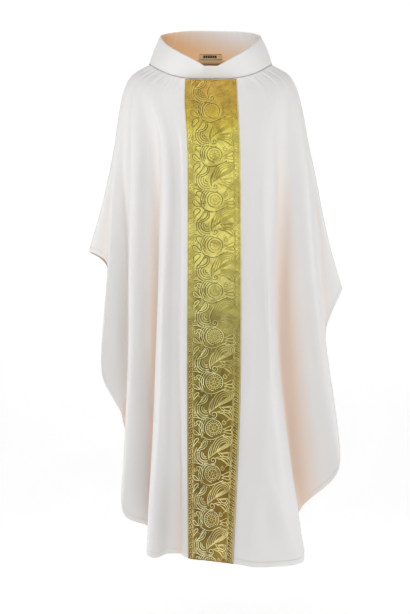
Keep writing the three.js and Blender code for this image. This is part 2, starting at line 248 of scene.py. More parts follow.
def fold_stations(s, side, facing, fold):
    """The five points that a fold line runs through, from the neck to the hem."""
    neck, chest, mid, hem = fold
    reach = s.front_length if facing < 0 else s.back_length

    def at(across, out, drop):
        return (side * across * s.hem_half_width, facing * out * s.hem_half_depth, -drop * reach)

    chest_at = (side * chest[0] * s.chest_half_width, facing * chest[1] * s.chest_half_depth, -s.chest_drop)
    hem_at = at(*hem)
    mid_at = at(*mid) if mid else tuple((a + b) / 2 for a, b in zip(chest_at, hem_at))
    return np.array(
        [neck_point(s, side, facing, neck), shoulder_point(s, side, facing, neck), chest_at, mid_at, hem_at]
    )


def band_edge_stations(s, side, facing, middle, turn):
    """The edge of a band, which keeps its width and may turn aside towards its hem."""
    stations = fold_stations(s, -1, facing, middle)
    half = s.band_width / 2
    stations[0] = neck_point(s, side, facing, math.degrees(math.asin(half / s.neck_half_width)))
    stations[1] = shoulder_point(s, side, facing, math.degrees(math.asin(half / s.shoulder_half_width)))
    stations[2:4, 0] += side * half
    stations[4, 0] += side * half * math.cos(math.radians(turn))
    stations[4, 1] -= side * half * math.sin(math.radians(turn))
    return stations


def fold_lines(s):
    """Every fold line in order round the garment."""

    def folds(side, facing, many):
        return [fold_stations(s, side, facing, fold) for fold in many]

    return np.array(
        [
            fold_stations(s, -1, -1, FRONT_MIDDLE),
            band_edge_stations(s, -1, -1, FRONT_MIDDLE, FRONT_BAND_TURN),
            *folds(-1, -1, FRONT_LEFT),
            fold_stations(s, -1, -1, LEFT_TIP),
            *folds(-1, 1, BACK_LEFT)[::-1],
            band_edge_stations(s, -1, 1, BACK_MIDDLE, 0),
            fold_stations(s, -1, 1, BACK_MIDDLE),
            band_edge_stations(s, 1, 1, BACK_MIDDLE, 0),
            *folds(1, 1, BACK_RIGHT),
            fold_stations(s, 1, -1, RIGHT_TIP),
            *folds(1, -1, FRONT_RIGHT)[::-1],
            band_edge_stations(s, 1, -1, FRONT_MIDDLE, FRONT_BAND_TURN),
        ]
    )


class Hanging:
    """The surface of the hanging garment, with its fold lines rounded off."""

    def __init__(self, s):
        stations = fold_lines(s)
        even = np.linspace(0, 1, LINE_STEPS)
        dense = curve_at(stations, np.tile(even, (LINE_COUNT, 1)))
        steps = np.linalg.norm(np.diff(dense, axis=1), axis=2)
        travelled = np.concatenate([np.zeros((LINE_COUNT, 1)), np.cumsum(steps, axis=1)], axis=1)
        falls = np.linspace(0, 1, TABLE_ROWS)
        t = np.array([np.interp(falls * row[-1], row, even) for row in travelled])
        self.lengths = travelled[:, -1]
        self.rings = self.rounded(curve_at(stations, t).transpose(1, 0, 2))

    @staticmethod
    def rounded(points):
        """Rings that pass each fold line by two points, a little outside the straight lines."""

        def towards(ends):
            way = ends - points
            far = np.linalg.norm(way, axis=2, keepdims=True)
            return way / far * np.minimum(FOLD_CUT * far, FOLD_RADIUS)

        back, on = towards(np.roll(points, 1, axis=1)), towards(np.roll(points, -1, axis=1))
        crest = -FOLD_FULLNESS * (back + on)
        rings = np.empty((len(points), 2 * LINE_COUNT, 3))
        rings[:, 0::2] = points + back + crest
        rings[:, 1::2] = points + on + crest
        return rings

    def line_length(self, along):
        lengths = np.append(self.lengths, self.lengths[0])
        return np.interp(along % LINE_COUNT, np.arange(LINE_COUNT + 1), lengths)

    def plain(self, along, fall):
        """Points of the smooth surface; along and fall have one shape."""
        fall = np.clip(fall, 0, 1) * (TABLE_ROWS - 1)
        row = np.minimum(fall.astype(int), TABLE_ROWS - 2)
        share = (fall - row)[..., None]
        place = (2 * along + 0.5) % (2 * LINE_COUNT)
        first = np.floor(place).astype(int)
        picks = [(first + k - 1) % (2 * LINE_COUNT) for k in range(4)]
        x = [mixed(self.rings[row, pick], self.rings[row + 1, pick], share) for pick in picks]
        return hermite(x, (place - first)[..., None])

    @staticmethod
    def normal_of(points, along, fall):
        """Outward normals of a surface given as a function of along and fall."""
        low, high = np.maximum(fall - 0.004, 0), np.minimum(fall + 0.004, 1)
        across = points(along + 0.02, fall) - points(along - 0.02, fall)
        down = points(along, high) - points(along, low)
        normal = np.cross(across, down)
        return normal / np.linalg.norm(normal, axis=-1, keepdims=True)

    def cloth(self, along, fall):
        """Points of the surface with the small waves of real cloth."""
        raised = relief(along, fall, self.line_length(along))[..., None]
        return self.plain(along, fall) + raised * self.normal_of(self.plain, along, fall)

    def at(self, along, fall):
        """Points and outward normals."""
        along, fall = np.broadcast_arrays(np.asarray(along, float), np.asarray(fall, float))
        return self.cloth(along, fall), self.normal_of(self.cloth, along, fall)

    def painted_shade(self, along, fall):
        """How much painted shade a point gets, by how deep it lies in a fold: 0 on a crest, 1 deep inside."""
        here = self.plain(along, fall)
        normal = self.normal_of(self.plain, along, fall)
        depth = 0
        for reach in (0.45, 0.9, 1.4):
            beside = (self.plain(along + reach, fall) + self.plain(along - reach, fall)) / 2
            depth = depth + np.sum((beside - here) * normal, axis=-1) / 3
        # The outer folds over the left arm are lit from behind and stay pale
        pale = 1 - 0.65 * eased((-0.18 - here[..., 0]) / 0.03) * (here[..., 1] < 0)
        return pale * np.clip((depth - HOLLOW_FROM) / HOLLOW_DEPTH, 0, 1)

    def stretch(self, along, fall):
        """Metres of cloth per unit of along."""
        step = 0.01
        gap = self.plain(along + step, fall) - self.plain(along - step, fall)
        return np.linalg.norm(gap, axis=-1) / (2 * step)


def eased(x):
    x = np.clip(x, 0, 1)
    return x * x * (3 - 2 * x)


def near_line(distance, width):
    """1 on a line, and less with the distance from it."""
    return np.exp(-((distance / width) ** 2))


def relief(along, fall, line):
    """Height in metres of the small waves in the cloth above the smooth surface."""
    along = along % LINE_COUNT
    down = fall * line
    to_hem = line - down
    round_at = along * 2 * math.pi / LINE_COUNT
    front, back = np.minimum(along, LINE_COUNT - along), np.abs(along - SEAM_BACK)
    off_band = eased((np.minimum(front, back) - 1.0) / 0.9)
    # Long soft swells, each a whole number of waves round the garment
    swell = (
        0.9 * np.sin(11 * round_at + 5.2 * down + 0.6)
        + 0.7 * np.sin(17 * round_at - 7.9 * down + 2.1)
        + 0.45 * np.sin(29 * round_at + 11.3 * down + 4.0)
        + 0.3 * np.sin(41 * round_at - 17.0 * down + 1.3)
    )
    height = SWELL_HEIGHT * swell * eased(down / 0.35) * mixed(0.25, 1.0, off_band)
    # A crease that runs aslant down the front right panel to its hem
    aslant = along - 31.75 + 0.55 * (down - 1.02) / 0.15
    below = eased((down - CREASE_START) / 0.14) * (along > 30)
    height = height + CREASE_HEIGHT * near_line(aslant, CREASE_WIDTH) * below
    # Gathers just under the collar, and the slight pucker of the sewn band and hem
    gathers = np.sin(43 * round_at + 1.1) + 0.6 * np.sin(71 * round_at + 0.4)
    height = height + GATHER_HEIGHT * gathers * np.exp(-down / 0.045) * eased(down / 0.008) * off_band
    beside_front = near_line(front - BAND_PUCKER_AT, BAND_PUCKER_WIDTH)
    beside_back = near_line(back - BAND_PUCKER_AT, BAND_PUCKER_WIDTH)
    pucker = np.sin(down / 0.0052 + 1.4 * np.sin(down * 9))
    height = height + BAND_PUCKER * (beside_front + beside_back) * pucker
    drawn = np.sin(83 * round_at + 2.2 * np.sin(7 * round_at))
    return height + HEM_PUCKER * np.exp(-to_hem / 0.018) * drawn


# ---------------------------------------------------------------- meshes


def new_object(name, vertices, faces, uv):
    mesh = bpy.data.meshes.new(name)
    faces = faces if isinstance(faces, list) else faces.tolist()
    mesh.from_pydata(np.asarray(vertices).tolist(), [], faces)
    layer = mesh.uv_layers.new(name="metres")
    corner = np.empty(len(mesh.loops), int)
    mesh.loops.foreach_get("vertex_index", corner)
    layer.data.foreach_set("uv", np.asarray(uv, np.float32)[corner].ravel())
    mesh.polygons.foreach_set("use_smooth", np.full(len(mesh.polygons), True))
    mesh.update()
    made = bpy.data.objects.new(name, mesh)
    bpy.context.scene.collection.objects.link(made)
    return made


def grid_faces(rows, columns, start=0, flipped=False):
    a = start + np.arange(rows - 1)[:, None] * columns + np.arange(columns - 1)[None, :]
    quads = np.stack([a, a + 1, a + columns + 1, a + columns], axis=-1).reshape(-1, 4)
    return quads[:, ::-1] if flipped else quads


def border(rows, columns):
    """The border of a grid as a loop of its vertices, and each one's neighbour inside."""
    top = [(0, c) for c in range(columns - 1)]
    right = [(r, columns - 1) for r in range(rows - 1)]
    bottom = [(rows - 1, c) for c in range(columns - 1, 0, -1)]
    left = [(r, 0) for r in range(rows - 1, 0, -1)]
    loop = np.array(top + right + bottom + left)
    inside = np.clip(loop, 1, [rows - 2, columns - 2])
    return loop[:, 0] * columns + loop[:, 1], inside[:, 0] * columns + inside[:, 1]


def sheet(name, outer, inner, uv):
    """A closed sheet between two grids of points, with a rounded edge all round."""
    rows, columns = outer.shape[:2]
    out, back = outer.reshape(-1, 3), inner.reshape(-1, 3)
    loop, inside = border(rows, columns)
    middle = (out[loop] + back[loop]) / 2
    way = out[loop] - out[inside]
    way /= np.linalg.norm(way, axis=1, keepdims=True) + 1e-12
    thick = np.linalg.norm(out[loop] - back[loop], axis=1, keepdims=True)
    edge = middle + way * thick * 0.4
    total = rows * columns
    a, b = loop, np.roll(loop, -1)
    am = 2 * total + np.arange(len(loop))
    bm = np.roll(am, -1)
    faces = np.concatenate(
        [
            grid_faces(rows, columns),
            grid_faces(rows, columns, total, True),
            np.stack([b, a, am, bm], axis=1),
            np.stack([bm, am, a + total, b + total], axis=1),
        ]
    )
    flat_uv = uv.reshape(-1, 2)
    all_uv = np.concatenate([flat_uv, flat_uv, flat_uv[loop]])
    made = new_object(name, np.concatenate([out, back, edge]), faces, all_uv)
    made["outer_faces"] = (rows - 1) * (columns - 1)
    return made


def metres_over(points):
    """UV in metres over a grid of points: arc length across from the middle column, and down."""
    across = np.linalg.norm(np.diff(points, axis=1), axis=2)
    u = np.concatenate([np.zeros((len(points), 1)), np.cumsum(across, axis=1)], axis=1)
    u -= u[:, u.shape[1] // 2, None]
    down = np.linalg.norm(np.diff(points, axis=0), axis=2)
    v = np.concatenate([np.zeros((1, points.shape[1])), np.cumsum(down, axis=0)], axis=0)
    return np.stack([u, v], axis=-1)


def store(made, name, values):
    attribute = made.data.attributes.new(name, "FLOAT", "POINT")
    attribute.data.foreach_set("value", np.asarray(values, np.float32).ravel())


def finish_piece(made, material, replaces=(), wrong_side=None):
    made.data.materials.append(material)
    if wrong_side is not None:
        made.data.materials.append(wrong_side)
        count, right = len(made.data.polygons), made["outer_faces"]
        index = np.zeros(count, int)
        index[right : 2 * right] = 1
        made.data.polygons.foreach_set("material_index", index)
    if "outer_faces" in made:
        del made["outer_faces"]
    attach(made, "root")
    if replaces:
        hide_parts(*replaces)
    return made


# ---------------------------------------------------------------- finishes


def linear(rgb):
    """sRGB parts as linear ones, with alpha."""
    return [c / 12.92 if c <= 0.04045 else ((c + 0.055) / 1.055) ** 2.4 for c in rgb] + [1.0]


def from_hex(code):
    return linear([int(code[i : i + 2], 16) / 255 for i in (1, 3, 5)])


def add_node(tree, kind, inputs=None, **settings):
    """Adds a shader node; inputs gives each socket a value or another node's output."""
    made = tree.nodes.new(kind)
    for name, value in settings.items():
        setattr(made, name, value)
    for socket, value in (inputs or {}).items():
        if isinstance(value, bpy.types.NodeSocket):
            tree.links.new(value, made.inputs[socket])
        else:
            made.inputs[socket].default_value = value
    return made


def ramp(tree, factor, stops):
    made = add_node(tree, "ShaderNodeValToRGB", {"Fac": factor})
    elements = made.color_ramp.elements
    while len(elements) < len(stops):
        elements.new(1)
    for element, (at, code) in zip(elements, stops):
        element.position = at
        element.color = from_hex(code) if isinstance(code, str) else code
    return made.outputs["Color"]


def mix_colour(tree, factor, a, b, blend="MIX"):
    made = add_node(tree, "ShaderNodeMix", data_type="RGBA", blend_type=blend)
    for socket, value in ((made.inputs[0], factor), (made.inputs[6], a), (made.inputs[7], b)):
        if isinstance(value, bpy.types.NodeSocket):
            tree.links.new(value, socket)
        else:
            socket.default_value = value
    return made.outputs[2]


def maths(tree, operation, a, b=0.0, clamp=False):
    made = add_node(tree, "ShaderNodeMath", {0: a, 1: b}, operation=operation)
    made.use_clamp = clamp
    return made.outputs[0]


def new_material(name, **principled):
    """A material of one principled shader; a socket's name has _ for its spaces."""
    material = bpy.data.materials.new(name)
    material.use_nodes = True
    tree = material.node_tree
    tree.nodes.clear()
    inputs = {name.replace("_", " "): value for name, value in principled.items()}
    shader = add_node(tree, "ShaderNodeBsdfPrincipled", inputs)
    output = add_node(tree, "ShaderNodeOutputMaterial")
    tree.links.new(shader.outputs["BSDF"], output.inputs["Surface"])
    return material, tree, shader


def millimetres(tree):
    """The piece's own UV map, turned from metres into millimetres."""
    uv = add_node(tree, "ShaderNodeUVMap", uv_map="metres").outputs["UV"]
    scaled = add_node(tree, "ShaderNodeVectorMath", {0: uv, 1: (1000, 1000, 1000)}, operation="MULTIPLY")
    return scaled.outputs[0]


def noise(tree, at, size, detail, distortion=0.0):
    """Soft patches about that size across, in the units of at."""
    inputs = {"Vector": at, "Scale": 1 / size, "Detail": detail, "Distortion": distortion}
    return add_node(tree, "ShaderNodeTexNoise", inputs).outputs["Fac"]


def multiply_add(tree, value, factor, addend):
    made = add_node(tree, "ShaderNodeMath", {0: value, 1: factor, 2: addend}, operation="MULTIPLY_ADD")
    return made.outputs[0]


def darker(colour_parts, share):
    return [part * share for part in colour_parts[:3]] + [1]


def bump(tree, shader, height, strength, distance):
    made = add_node(tree, "ShaderNodeBump", {"Height": height, "Strength": strength, "Distance": distance})
    tree.links.new(made.outputs["Normal"], shader.inputs["Normal"])


# A wave texture of scale 1 has a line every so many units
WAVE_TURN = 0.314


def crepe(name, base, shade=None, glow=0.0):
    """Crepe-weave polyester satin: a fine pebbled grain with a soft, broad sheen.

    glow is a painted glow given off by the cloth itself, standing for the light that comes through thin cloth
    from behind it."""
    material, tree, shader = new_material(
        name, Roughness=0.5, Specular_IOR_Level=0.45, Sheen_Weight=0.12, Sheen_Roughness=0.4
    )
    at = millimetres(tree)
    # The grain is 0.7 mm across, drawn at 1.6 mm so that it doesn't shimmer
    grain = noise(tree, at, 1.6, 2.0)
    # Warp lines 3 mm apart, and a slow change over 140 mm from pressing
    waves = {"Vector": at, "Scale": 0.1, "Distortion": 1.5, "Detail": 1.0}
    lines = add_node(tree, "ShaderNodeTexWave", waves)
    slow = noise(tree, at, 140, 2.0)
    tone = ramp(tree, slow, [(0.3, darker(base, 0.975)), (0.7, base)])
    if shade is not None:
        # Painted shade: the colour turns warmer deep in a fold, standing for light that has crossed the cloth
        # several times
        depth = add_node(tree, "ShaderNodeAttribute", attribute_name="painted_shade").outputs["Fac"]
        tone = mix_colour(tree, depth, tone, shade)
    tree.links.new(tone, shader.inputs["Base Color"])
    # Painted glow: the cloth gives off light in its own colour
    if glow:
        tree.links.new(tone, shader.inputs["Emission Color"])
        shader.inputs["Emission Strength"].default_value = glow
    tree.links.new(multiply_add(tree, slow, 0.12, 0.42), shader.inputs["Roughness"])
    height = maths(tree, "ADD", grain, maths(tree, "MULTIPLY", lines.outputs["Fac"], 0.25))
    bump(tree, shader, height, 0.25, 0.0002)
    return material


def woven(name, base, pitch, roughness=0.85):
    """Plain weave of that pitch in millimetres: matt, with threads both ways."""
    material, tree, shader = new_material(
        name, Base_Color=base, Roughness=roughness, Specular_IOR_Level=0.3, Sheen_Weight=0.2
    )
    at = millimetres(tree)
    turns = WAVE_TURN / pitch
    warp = add_node(tree, "ShaderNodeTexWave", {"Vector": at, "Scale": turns}, bands_direction="X")
    weft = add_node(tree, "ShaderNodeTexWave", {"Vector": at, "Scale": turns}, bands_direction="Y")
    slub = noise(tree, at, 6.0, 3.0)
    both = maths(tree, "MAXIMUM", warp.outputs["Fac"], weft.outputs["Fac"])
    tone = mix_colour(tree, maths(tree, "MULTIPLY", slub, 0.35), base, darker(base, 0.8))
    tree.links.new(tone, shader.inputs["Base Color"])
    bump(tree, shader, both, 0.5, 0.0003)
    return material


# Painted reflection: the lurex threads turn with the light, so the painted colour of the ground and the
# figure changes along the fall: warm ochre under the collar, bright over the chest, and darker with a pale
# figure below.
GROUND_STOPS = (
    (0.00, "#C8A034"),
    (0.06, "#C4A42A"),
    (0.10, "#DBC640"),
    (0.15, "#F8EC7A"),
    (0.38, "#FAEE84"),
    (0.43, "#E2D880"),
    (0.50, "#C4BA64"),
    (0.56, "#AC9E4C"),
    (0.64, "#9A8832"),
    (0.74, "#8E7620"),
    (0.86, "#8C6C12"),
    (0.94, "#90700E"),
    (1.00, "#967A1C"),
)
# The raised gold cord, painted pale for its highlight
CORD_STOPS = (
    (0.00, "#F0D468"),
    (0.15, "#F8EE84"),
    (0.40, "#FCF494"),
    (0.55, "#FFF8B0"),
    (1.00, "#FFFAC0"),
)
# Painted shadow: the dark thread beside the raised cord
SHADOW_THREAD_STOPS = (
    (0.00, "#7C6010"),
    (0.20, "#7A6C20"),
    (0.45, "#64581E"),
    (0.60, "#4A3A12"),
    (1.00, "#4E3A0E"),
)
FIGURE_STOPS = (
    (0.00, "#DCBC50"),
    (0.07, "#D8BC4C"),
    (0.11, "#C8B648"),
    (0.16, "#C2B648"),
    (0.40, "#C4B850"),
    (0.47, "#BAB058"),
    (0.53, "#DCD48C"),
    (0.62, "#F4E898"),
    (0.75, "#FCF0A4"),
    (1.00, "#FEF2AA"),
)


def lurex(name, stops, band_length, roughness, metallic, pitch):
    """Lurex brocade: flat metallised threads over silk, woven with a fine cross rib."""
    material, tree, shader = new_material(
        name, Roughness=roughness, Metallic=metallic, Specular_IOR_Level=0.5, Anisotropic=0.3
    )
    at = millimetres(tree)
    parts = add_node(tree, "ShaderNodeSeparateXYZ", {"Vector": at})
    # The painted change of reflection wanders by up to 30 mm up and down the band
    wander = multiply_add(tree, noise(tree, at, 45.0, 2.0, 0.6), 60.0, -30.0)
    down = maths(tree, "ADD", parts.outputs["Y"], wander)
    share = maths(tree, "DIVIDE", down, band_length * 1000, clamp=True)
    tone = ramp(tree, share, list(stops))
    flecked = ramp(tree, noise(tree, at, 2.4, 1.0), [(0.35, "#EEEEEE"), (0.65, "#FFFFFF")])
    tone = mix_colour(tree, 1.0, tone, flecked, "MULTIPLY")
    # Painted shade in patches 40 mm across, where slack in the band turns its flat threads away from the
    # light
    painted_patch_shade = ramp(tree, noise(tree, at, 40.0, 3.0, 1.2), [(0.36, "#D0C9B8"), (0.56, "#FFFFFF")])
    tone = mix_colour(tree, 1.0, tone, painted_patch_shade, "MULTIPLY")
    tree.links.new(tone, shader.inputs["Base Color"])
    waves = {"Vector": at, "Scale": WAVE_TURN / pitch, "Distortion": 0.4}
    rib = add_node(tree, "ShaderNodeTexWave", waves, bands_direction="Y")
    bump(tree, shader, rib.outputs["Fac"], 0.35, 0.0002)
    return material


def build_materials(c, band_length):
    made = bpy.data.materials
    if "crepe_satin" in made:
        return
    crepe("crepe_satin", linear(c.cloth), linear(c.cloth_shade))
    # The wrong side of the panels gets painted shade as its colour
    crepe("crepe_satin_wrong_side_shaded", linear(c.cloth_wrong_side_shade))
    # Inside the collar the cloth gets painted warm shade and a painted glow
    crepe("crepe_satin_in_collar", linear(c.cloth), linear(c.collar_shade), COLLAR_GLOW)
    woven("cotton_canvas", linear(c.canvas), 2.4)
    # The tape's tan is painted shade on a cream tape
    woven("satin_tape_weave_shaded", linear(c.tape), 1.6, 0.5)
    woven("damask_label_weave", linear(c.label), 1.2, 0.7)
    woven("label_dash_thread", linear(c.label_mark), 1.2, 0.7)
    woven("polyester_thread", linear(c.thread), 0.8, 0.55)
    woven("selvedge_cord", linear(c.edging), 0.9, 0.5)
    lurex("brocade_ground", GROUND_STOPS, band_length, 0.5, 0.25, 2.0)
    lurex("brocade_figure", FIGURE_STOPS, band_length, 0.45, 0.2, 1.4)
    lurex("brocade_cord", CORD_STOPS, band_length, 0.5, 0.2, 1.4)
    lurex("brocade_outline", SHADOW_THREAD_STOPS, band_length, 0.5, 0.3, 1.4)


# ---------------------------------------------------------------- the woven figure


STEP = 2.4  # millimetres from point to point along a thread


def arc(cx, cy, radius, start=0, end=360):
    """Points of an arc or ring in millimetres, x to the right and y down the band."""
    turn = math.radians(end - start)
    count = max(6, int(abs(turn) * radius / STEP))
    angle = np.radians(start) + turn * np.arange(count + 1) / count
    return np.stack([radius * np.cos(angle), radius * np.sin(angle)], axis=1) + (cx, cy)


def teardrop(tail, head, width, bend, step=STEP):
    """The closed edge of a drop from its tail to its round head, its middle line bent."""
    tail, head = np.array(tail, float), np.array(head, float)
    way = head - tail
    reach = np.linalg.norm(way)
    count = max(14, int(2.4 * reach / step))
    t = 2 * math.pi * np.arange(count + 1) / count
    down = (1 - np.cos(t)) / 2
    side = width * 0.65 * np.sin(t) * np.sin(t / 2) ** 1.6
    along = way / reach
    beside = np.array([-along[1], along[0]])
    curve = bend * np.sin(math.pi * down) * reach
    return tail + down[:, None] * way + (side + curve)[:, None] * beside


def spiral(cx, cy, inner, outer, turns, start):
    count = max(10, int(turns * math.pi * (inner + outer) / 2.0))
    share = np.arange(count + 1) / count
    angle = math.radians(start) + 2 * math.pi * turns * share
    radius = inner + (outer - inner) * share
    return np.stack([cx + radius * np.cos(angle), cy + radius * np.sin(angle)], axis=1)


def bezier(a, b, c, d):
    a, b, c, d = (np.array(p, float) for p in (a, b, c, d))
    reach = np.linalg.norm(b - a) + np.linalg.norm(c - b) + np.linalg.norm(d - c)
    count = max(4, int(reach / STEP))
    t = (np.arange(count + 1) / count)[:, None]
    return (1 - t) ** 3 * a + 3 * t * (1 - t) ** 2 * b + 3 * t * t * (1 - t) * c + t**3 * d


def medallion(rose):
    """A petalled rose, and round it a beaded ring in a scalloped one."""
    figure = [(arc(*rose, 3.6), 1.8), (arc(*rose, 11.6), 1.8)]
    for petal in range(8):
        angle = math.radians(45 * petal)
        way = (math.cos(angle), math.sin(angle))
        spoke = [(rose[0] + reach * way[0], rose[1] + reach * way[1]) for reach in (5, 7, 9, 10.6)]
        figure.append((bezier(*spoke), 1.2))
    cord = [(arc(*rose, 19.6, 95, 402), 1.8)]
    # Arcs that echo the medallion on its left
    cord += [(arc(*rose, 25.4 + 5 * ring, 152 - 6 * ring, 236 - 4 * ring), 1.7) for ring in range(3)]
    return figure, cord, ring_of_beads(rose, 15.6, 20, 1.6)


def ring_of_beads(centre, radius, count, size, start=0, end=360):
    angles = np.radians(start + (end - start) * (np.arange(count) + 0.5) / count)
    return [(centre[0] + radius * math.cos(a), centre[1] + radius * math.sin(a), size) for a in angles]


def nested(tail, head, width, bend, count, gap=4.0, thick=1.8):
    """A leaf drawn in several lines, one inside the other."""
    tail, head = np.array(tail, float), np.array(head, float)
    way = (head - tail) / np.linalg.norm(head - tail)
    lines = []
    for inset in range(count):
        inner_tail, inner_head = tail + way * gap * 1.9 * inset, head - way * gap * inset
        lines.append((teardrop(inner_tail, inner_head, width - 2 * gap * inset, bend), thick))
    return lines


def figure_repeat():
    """One repeat in millimetres from the band's middle and down: the flat figure, the raised
    cord, and the beads."""
    figure, cord, beads = medallion((2, 22))
    # Large paisley leaf, its head to the upper right, with a scroll like a 6 at its foot
    figure += nested((-8, 93), (45, 47), 35, -0.12, 4, 4.3, 1.9)
    cord += [(spiral(2, 98, 2.0, 8.6, 1.3, 20), 1.9), (bezier((-6.6, 98), (-13, 86), (-9, 72), (0, 60)), 1.8)]
    # Smaller leaves on the right
    figure += nested((14, 80), (46, 86), 18, 0.1, 2, 4.2)
    figure += nested((8, 92), (47, 108), 15, -0.16, 2, 4.0)
    figure += nested((24, 24), (47, 19), 10, 0.12, 1) + nested((25, 32), (47, 33), 9, -0.1, 1)
    figure += [(spiral(28, 9, 1.8, 6.2, 1.2, 200), 1.7), (bezier((34, 6), (38, 0), (44, 0), (48, 4)), 1.7)]
    figure += [(bezier((20, 38), (30, 46), (38, 42), (48, 42)), 1.7)]
    # Fan of beaded arcs on the left
    fan = (-17, 84)
    cord += [(arc(*fan, 5 + 5.4 * ring, 62 + 3 * ring, 218), 1.8) for ring in range(5)]
    beads += ring_of_beads(fan, 7.7, 6, 1.2, 72, 212) + ring_of_beads(fan, 18.5, 13, 1.3, 72, 212)
    # Leaves at the upper left, and the scalloped stem round the medallion
    cord += nested((-40, 76), (-15, 50), 15, 0.12, 2, 4.0) + nested((-26, 32), (-38, 5), 12, 0.16, 1)
    cord += nested((-30, 38), (-48, 27), 9, -0.1, 1) + nested((-47, 66), (-35, 46), 8, -0.1, 1)
    cord += [(bezier((-32, 30), (-26, 46), (-10, 53), (6, 47)), 1.9)]
    cord += [(bezier((6, 47), (16, 42), (24, 40), (30, 36)), 1.9)]
    cord += [(spiral(-42, 95, 1.6, 5.2, 1.1, 90), 1.6), (spiral(-42, 13, 1.4, 4.4, 1.1, 250), 1.6)]
    cord += [(bezier((-48, 105), (-38, 101), (-28, 112), (-14, 108)), 1.8)]
    cord += [(bezier((-14, 108), (-8, 106), (-2, 110), (8, 108)), 1.8)]
    beads += [(-34 + 5.8 * bead, 55 + 2.4 * math.sin(bead * 0.9), 1.3) for bead in range(6)]
    return figure, cord, beads


def beside(line, gap):
    """The line moved sideways by the gap."""
    way = np.gradient(line, axis=0)
    way /= np.linalg.norm(way, axis=1, keepdims=True) + 1e-9
    return line + gap * np.stack([-way[:, 1], way[:, 0]], axis=1)


def border_repeat(width, repeat):
    """Slanted leaves and beads between two thin lines along both sides of the band."""
    lines, beads = [], []
    leaves = 9
    pitch = repeat / leaves
    for side in (-1, 1):
        middle = side * (width / 2 - 9.0)
        for leaf in range(leaves):
            y = (leaf + 0.5) * pitch
            tail = (middle + side * 4.0, y + 5.2)
            head = (middle - side * 4.0, y - 5.0)
            lines.append((teardrop(tail, head, 5.6, 0.12, step=3.0), 1.2))
            beads.append((middle + side * 3.4, y - 2.4, 1.0))
    return lines, beads


def kept_inside(line, width, low, high):
    """The parts of a line that lie on the band, as open or closed lines."""
    good = (line[:, 1] > low) & (line[:, 1] < high) & (np.abs(line[:, 0]) < width / 2 - 1.5)
    if good.all():
        return [line]
    parts, part = [], []
    for point, kept in zip(line, good):
        if kept:
            part.append(point)
        elif part:
            parts.append(np.array(part))
            part = []
    if part:
        parts.append(np.array(part))
    return [p for p in parts if len(p) > 2]


class BandFace:
    """The outer face of a band, read by millimetres across and down it."""

    def __init__(self, points, normals):
        self.points, self.normals = points, normals
        uv = metres_over(points) * 1000
        self.across = uv[:, :, 0].mean(axis=0)
        self.down = uv[:, uv.shape[1] // 2, 1]
        self.length = self.down[-1]
        self.width = self.across[-1] - self.across[0]

    def at(self, across, down, height):
        columns, rows = len(self.across), len(self.down)
        column = np.interp(across, self.across, np.arange(columns))
        row = np.interp(down, self.down, np.arange(rows))
        c, r = np.minimum(column.astype(int), columns - 2), np.minimum(row.astype(int), rows - 2)
        x, y = (column - c)[:, None], (row - r)[:, None]

        def read(grid):
            top = grid[r, c] * (1 - x) + grid[r, c + 1] * x
            return top * (1 - y) + (grid[r + 1, c] * (1 - x) + grid[r + 1, c + 1] * x) * y

        normal = read(self.normals)
        normal /= np.linalg.norm(normal, axis=1, keepdims=True)
        return read(self.points) + normal * (np.asarray(height) * MM)[:, None]


class Ribbons:
    """Raised threads on a band: closed, thin prisms along lines, and small domed beads."""

    def __init__(self):
        self.flat, self.faces, self.count = [], [], 0

    def add(self, flat, faces):
        self.flat.append(flat)
        self.faces += [tuple(self.count + i for i in face) for face in faces]
        self.count += len(flat)

    def line(self, points, width, height=0.45):
        closed = np.allclose(points[0], points[-1])
        points = points[:-1] if closed else points
        count = len(points)
        if closed:
            after, before = np.roll(points, -1, axis=0), np.roll(points, 1, axis=0)
        else:
            after = np.vstack([points[1:], 2 * points[-1] - points[-2]])
            before = np.vstack([2 * points[0] - points[1], points[:-1]])
        way = after - before
        way /= np.linalg.norm(way, axis=1, keepdims=True) + 1e-9
        side = np.stack([-way[:, 1], way[:, 0]], axis=1)
        profile = ((-0.5, -0.15), (-0.28, height), (0.28, height), (0.5, -0.15))
        flat = np.empty((count, 4, 3))
        for k, (share, rise) in enumerate(profile):
            flat[:, k, :2] = points + side * share * width
            flat[:, k, 2] = rise
        faces = []
        for i in range(count if closed else count - 1):
            j = (i + 1) % count
            for k in range(4):
                m = (k + 1) % 4
                faces.append((4 * i + k, 4 * i + m, 4 * j + m, 4 * j + k))
        if not closed:
            faces += [(0, 3, 2, 1), (4 * count - 4, 4 * count - 3, 4 * count - 2, 4 * count - 1)]
        self.add(flat.reshape(-1, 3), faces)

    def bead(self, x, y, radius):
        angle = 2 * math.pi * np.arange(6) / 6
        low, high = (
            np.stack([x + reach * np.cos(angle), y + reach * np.sin(angle), np.full(6, rise)], axis=1)
            for reach, rise in ((radius, -0.15), (0.6 * radius, 0.5))
        )
        faces = [(i, 6 + i, 6 + (i + 1) % 6, (i + 1) % 6) for i in range(6)]
        faces += [tuple(range(6)), tuple(range(11, 5, -1))]
        self.add(np.vstack([low, high]), faces)

    def build(self, name, face):
        flat = np.vstack(self.flat)
        # The band's columns run from right to left as seen, the figure's from left to right
        vertices = face.at(-flat[:, 0], flat[:, 1], flat[:, 2])
        return new_object(name, vertices, self.faces, flat[:, :2] * MM)


# ---------------------------------------------------------------- pieces


HEM_ROWS = np.array([28, 24, 21.5, 20, 18, 15.5, 14, 13, 12.3, 11.7, 11, 10, 8, 5, 2.5, 0]) * MM


